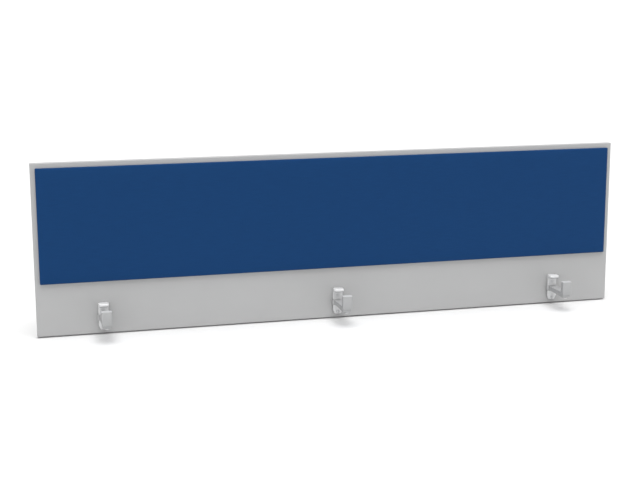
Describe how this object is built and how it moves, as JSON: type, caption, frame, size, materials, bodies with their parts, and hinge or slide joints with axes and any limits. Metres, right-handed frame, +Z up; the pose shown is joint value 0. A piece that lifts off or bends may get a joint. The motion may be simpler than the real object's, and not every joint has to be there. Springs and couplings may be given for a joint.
{
  "type": "desk privacy panel",
  "caption": "Long grey desk screen with an upholstered blue pinboard pad over a bare lower band, carried by screw clamps that grip the rear edge of a desk top.",
  "frame": {"origin": "centre of the rubber pad under the centre clamp's upper jaw, where it sits on the desk top", "axes": "+X along the panel to the right as the user sees it, +Y away from the user through the panel's thickness, +Z up"},
  "size_m": [1.6, 0.127, 0.45],
  "materials": {
    "board_melamine": "light grey melamine facing, fine satin pebble",
    "edge_band": "light grey ABS edging, satin",
    "pad_backing": "bare hardboard",
    "pad_foam": "thin pinnable felt foam",
    "pad_fabric": "royal blue woven screen cloth",
    "fastener_steel": "bright zinc-plated steel",
    "cap_plastic": "light grey moulded caps",
    "rail_aluminium": "bright satin aluminium",
    "clamp_casting": "die-cast, satin silver-grey",
    "jaw_rubber": "grey rubber",
    "press_pad_plastic": "grey non-marking pad",
    "insert_brass": "knurled brass"
  },
  "bodies": {
    "panel": {"board_core": "board_melamine", "edge_band_top": "edge_band", "edge_band_bottom": "edge_band", "edge_band_left": "edge_band", "edge_band_right": "edge_band", "pad_backing_board": "pad_backing", "pad_foam": "pad_foam", "pad_fabric_cover": "pad_fabric", "pad_screw_1": "fastener_steel", "pad_tee_nut_1": "fastener_steel", "pad_screw_cap_1": "cap_plastic", "pad_screw_2": "fastener_steel", "pad_tee_nut_2": "fastener_steel", "pad_screw_cap_2": "cap_plastic", "pad_screw_3": "fastener_steel", "pad_tee_nut_3": "fastener_steel", "pad_screw_cap_3": "cap_plastic", "pad_screw_4": "fastener_steel", "pad_tee_nut_4": "fastener_steel", "pad_screw_cap_4": "cap_plastic", "pad_screw_5": "fastener_steel", "pad_tee_nut_5": "fastener_steel", "pad_screw_cap_5": "cap_plastic", "pad_screw_6": "fastener_steel", "pad_tee_nut_6": "fastener_steel", "pad_screw_cap_6": "cap_plastic", "left_clamp_rail": "rail_aluminium", "left_clamp_jaw_pad": "jaw_rubber", "left_clamp_upper_screw": "fastener_steel", "left_clamp_stop_screw": "fastener_steel", "left_upper_insert": "insert_brass", "left_lower_insert": "insert_brass", "centre_clamp_rail": "rail_aluminium", "centre_clamp_jaw_pad": "jaw_rubber", "centre_clamp_upper_screw": "fastener_steel", "centre_clamp_stop_screw": "fastener_steel", "centre_upper_insert": "insert_brass", "centre_lower_insert": "insert_brass", "right_clamp_rail": "rail_aluminium", "right_clamp_jaw_pad": "jaw_rubber", "right_clamp_upper_screw": "fastener_steel", "right_clamp_stop_screw": "fastener_steel", "right_upper_insert": "insert_brass", "right_lower_insert": "insert_brass"},
    "left_arm": {"left_clamp_arm": "clamp_casting"},
    "left_press": {"left_pressure_shoe": "clamp_casting", "left_pressure_pad": "press_pad_plastic"},
    "left_spindle": {"left_clamp_spindle": "fastener_steel"},
    "centre_arm": {"centre_clamp_arm": "clamp_casting"},
    "centre_press": {"centre_pressure_shoe": "clamp_casting", "centre_pressure_pad": "press_pad_plastic"},
    "centre_spindle": {"centre_clamp_spindle": "fastener_steel"},
    "right_arm": {"right_clamp_arm": "clamp_casting"},
    "right_press": {"right_pressure_shoe": "clamp_casting", "right_pressure_pad": "press_pad_plastic"},
    "right_spindle": {"right_clamp_spindle": "fastener_steel"}
  },
  "joints": [
    {"name": "left_arm_slide", "type": "slide", "parent": "panel", "child": "left_arm", "axis": [0, 0, -1], "range_m": [0, 0.015]},
    {"name": "left_press_travel", "type": "slide", "parent": "left_arm", "child": "left_press", "axis": [0, 0, -1], "range_m": [0, 0.0195]},
    {"name": "left_spindle_turn", "type": "hinge", "parent": "left_press", "child": "left_spindle", "pos_m": [-0.63, -0.0815, -0.02], "axis": [0, 0, -1], "range_deg": [0, 4681]},
    {"name": "centre_arm_slide", "type": "slide", "parent": "panel", "child": "centre_arm", "axis": [0, 0, -1], "range_m": [0, 0.015]},
    {"name": "centre_press_travel", "type": "slide", "parent": "centre_arm", "child": "centre_press", "axis": [0, 0, -1], "range_m": [0, 0.0195]},
    {"name": "centre_spindle_turn", "type": "hinge", "parent": "centre_press", "child": "centre_spindle", "pos_m": [0, -0.0815, -0.02], "axis": [0, 0, -1], "range_deg": [0, 4681]},
    {"name": "right_arm_slide", "type": "slide", "parent": "panel", "child": "right_arm", "axis": [0, 0, -1], "range_m": [0, 0.015]},
    {"name": "right_press_travel", "type": "slide", "parent": "right_arm", "child": "right_press", "axis": [0, 0, -1], "range_m": [0, 0.0195]},
    {"name": "right_spindle_turn", "type": "hinge", "parent": "right_press", "child": "right_spindle", "pos_m": [0.63, -0.0815, -0.02], "axis": [0, 0, -1], "range_deg": [0, 4681]}
  ],
  "couplings": [
    {"joint": "left_spindle_turn", "follows": "left_press_travel", "rad_per_m": 4188.8},
    {"joint": "centre_spindle_turn", "follows": "centre_press_travel", "rad_per_m": 4188.8},
    {"joint": "right_spindle_turn", "follows": "right_press_travel", "rad_per_m": 4188.8}
  ]
}
